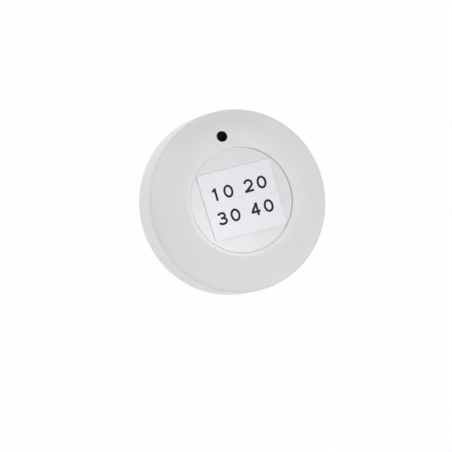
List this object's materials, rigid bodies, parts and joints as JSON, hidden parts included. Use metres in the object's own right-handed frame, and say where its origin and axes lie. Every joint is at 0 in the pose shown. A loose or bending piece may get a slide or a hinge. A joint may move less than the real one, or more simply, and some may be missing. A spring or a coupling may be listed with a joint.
{
  "type": "temperature sensor",
  "caption": "Small round coin-cell wireless temperature sensor with a recessed face, a labelled press area and a twist-off back cover.",
  "frame": {"origin": "centre of the back face, which lies on z = 0", "axes": "+Z out of the front face, +Y from the axis towards the sensor hole"},
  "size_m": [0.0328, 0.0328, 0.009],
  "materials": {
    "housing_plastic": "fine satin moulded",
    "cover_plastic": "fine satin moulded",
    "label_film": "smooth laminated tape",
    "seal_rubber": "matte",
    "foam": "closed-cell foam",
    "cell_steel": "bright nickel plate",
    "cell_gasket_plastic": "natural",
    "frame_plastic": "satin",
    "spring_strip": "nickel-plated strip",
    "board_laminate": "solder mask over laminate",
    "screw_steel": "zinc plate",
    "chip_epoxy": "moulded epoxy",
    "crystal_can": "nickel plate",
    "antenna_ceramic": "fired ceramic with silver ends",
    "capacitor_ceramic": "fired ceramic with tinned ends",
    "resistor_ceramic": "glazed film with tinned ends",
    "inductor_ferrite": "ferrite",
    "led_resin": "clear resin",
    "filter_mesh": "fine black mesh",
    "switch_plastic": "satin",
    "switch_sheet": "bright sheet",
    "plunger_plastic": "satin"
  },
  "bodies": {
    "housing": {"front_housing": "housing_plastic", "label_tape": "label_film", "cell_can": "cell_steel", "cell_cap": "cell_steel", "cell_gasket": "cell_gasket_plastic", "battery_frame": "frame_plastic", "positive_contact": "spring_strip", "negative_contact": "spring_strip", "circuit_board": "board_laminate", "board_screws": "screw_steel", "radio_chip": "chip_epoxy", "main_crystal": "crystal_can", "clock_crystal": "crystal_can", "chip_antenna": "antenna_ceramic", "bulk_capacitor": "capacitor_ceramic", "capacitors": "capacitor_ceramic", "resistors": "resistor_ceramic", "inductors": "inductor_ferrite", "indicator_led": "led_resin", "sensor_chip": "chip_epoxy", "dust_filter": "filter_mesh", "sensor_gasket": "foam", "switch_base": "switch_plastic", "switch_frame": "switch_sheet"},
    "cover": {"back_cover": "cover_plastic", "cover_seal": "seal_rubber", "cell_pad": "foam"},
    "plunger": {"switch_plunger": "plunger_plastic"}
  },
  "joints": [
    {"name": "cover_twist", "type": "hinge", "parent": "housing", "child": "cover", "pos_m": [0, 0, 0], "axis": [0, 0, -1], "range_deg": [0, 30]},
    {"name": "switch_press", "type": "slide", "parent": "housing", "child": "plunger", "axis": [0, 0, -1], "range_m": [0, 0.00015], "stiffness_N_per_m": 8000, "springref_m": -0.00005}
  ]
}
